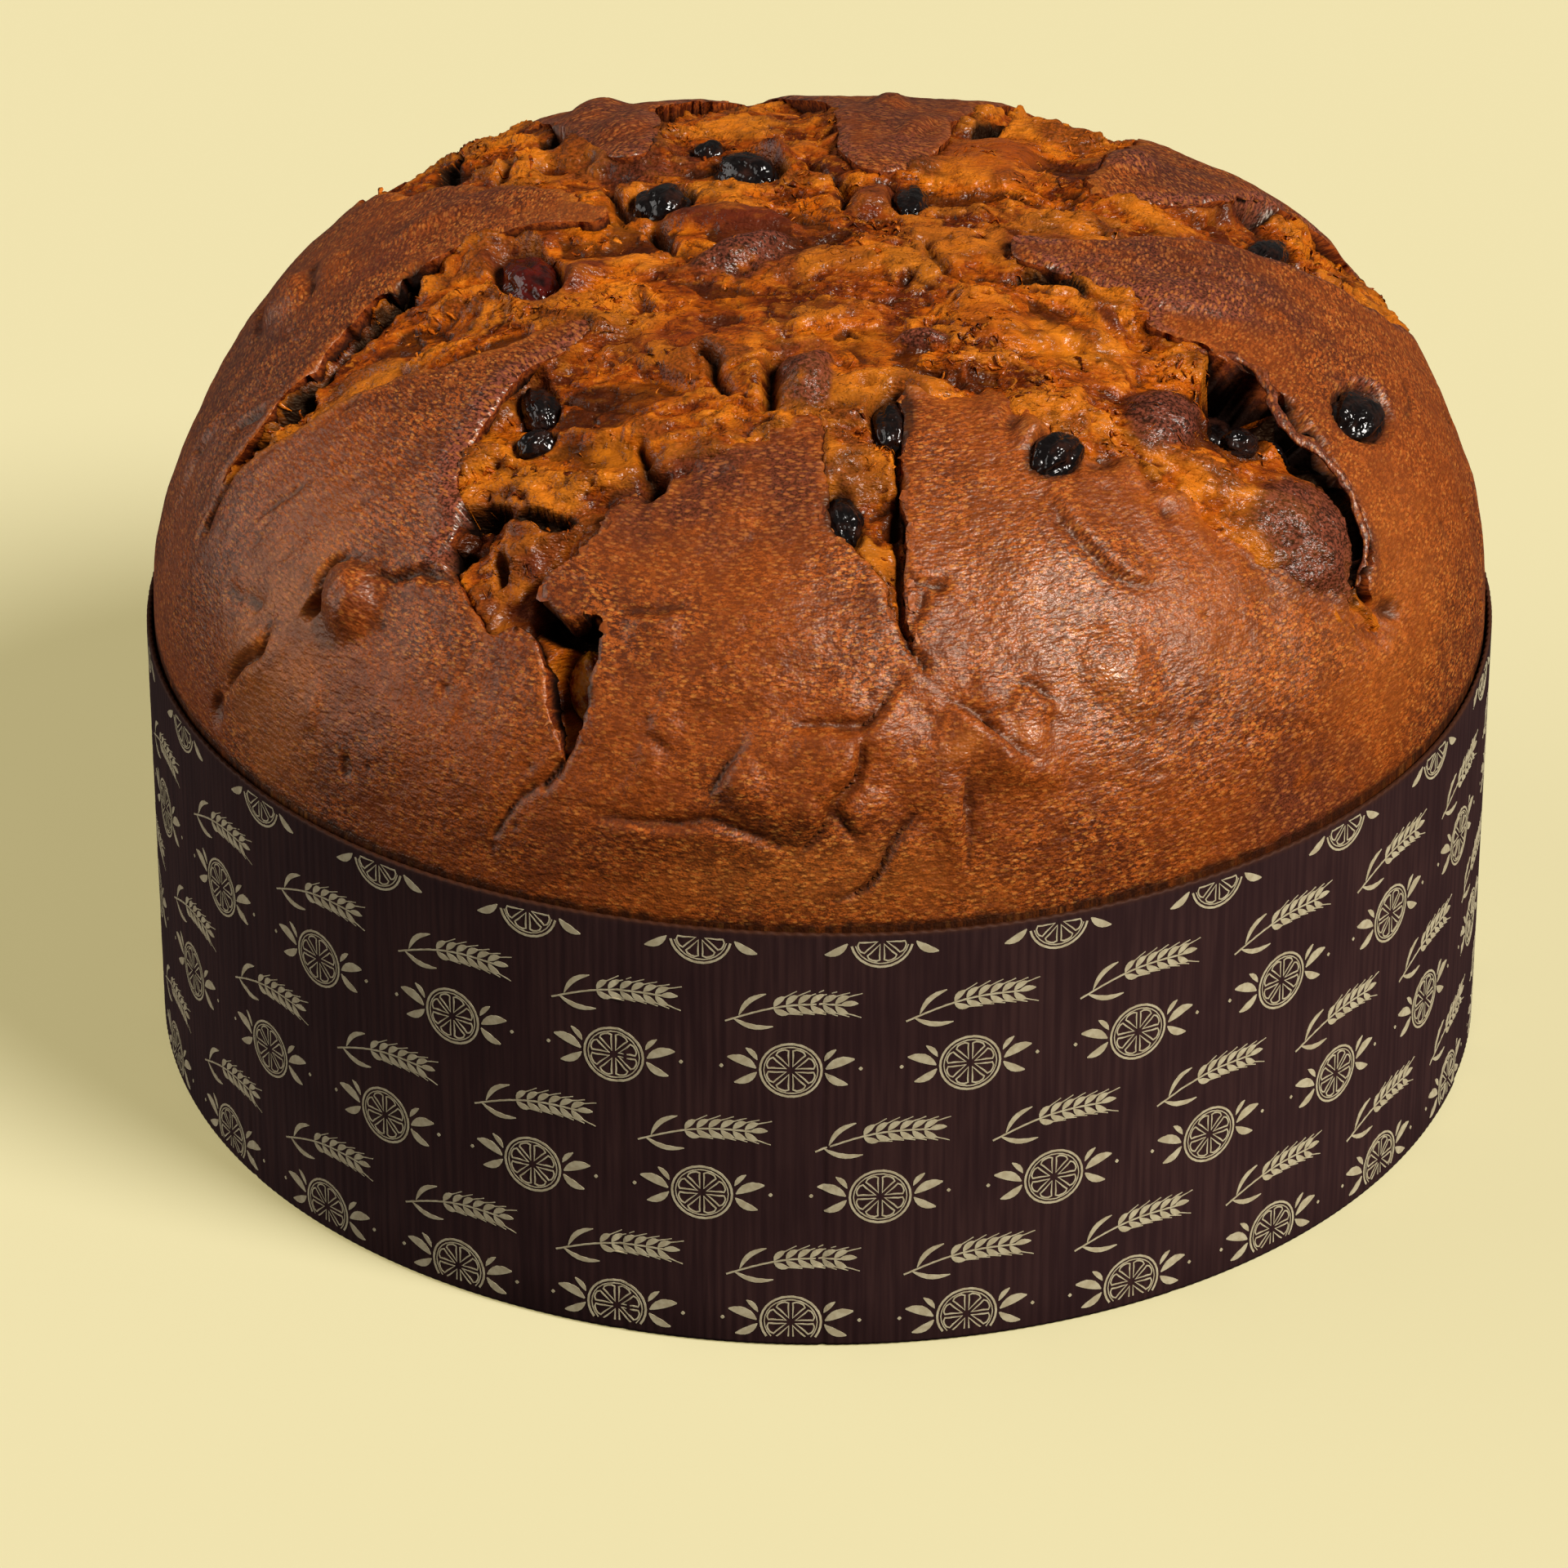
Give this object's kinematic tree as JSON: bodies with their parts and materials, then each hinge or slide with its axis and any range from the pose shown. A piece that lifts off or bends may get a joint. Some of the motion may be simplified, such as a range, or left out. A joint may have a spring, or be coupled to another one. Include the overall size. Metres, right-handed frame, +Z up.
{
  "type": "panettone in a paper baking case",
  "caption": "Low domed sweet loaf with a torn, dark baked crust and raisins, standing in its printed paper baking case.",
  "frame": {"origin": "middle of the paper case's flat underside", "axes": "+Z up through the crown of the loaf; -Y towards the side that the picture shows, +X to that view's right"},
  "size_m": [0.21, 0.21, 0.1386],
  "materials": {
    "baked_crust": "satin",
    "raisin": "gloss",
    "candied_peel": "gloss",
    "case_paper": "satin"
  },
  "bodies": {
    "root": {"loaf": "baked_crust", "paper_case": "case_paper", "candied_peel": "candied_peel", "raisin_01": "raisin", "raisin_02": "raisin", "raisin_03": "raisin", "raisin_04": "raisin", "raisin_05": "raisin", "raisin_06": "raisin", "raisin_07": "raisin", "raisin_08": "raisin", "raisin_09": "raisin", "raisin_10": "raisin", "raisin_11": "raisin", "raisin_12": "raisin", "raisin_13": "raisin", "raisin_14": "raisin", "raisin_15": "raisin", "raisin_16": "raisin"}
  },
  "joints": []
}
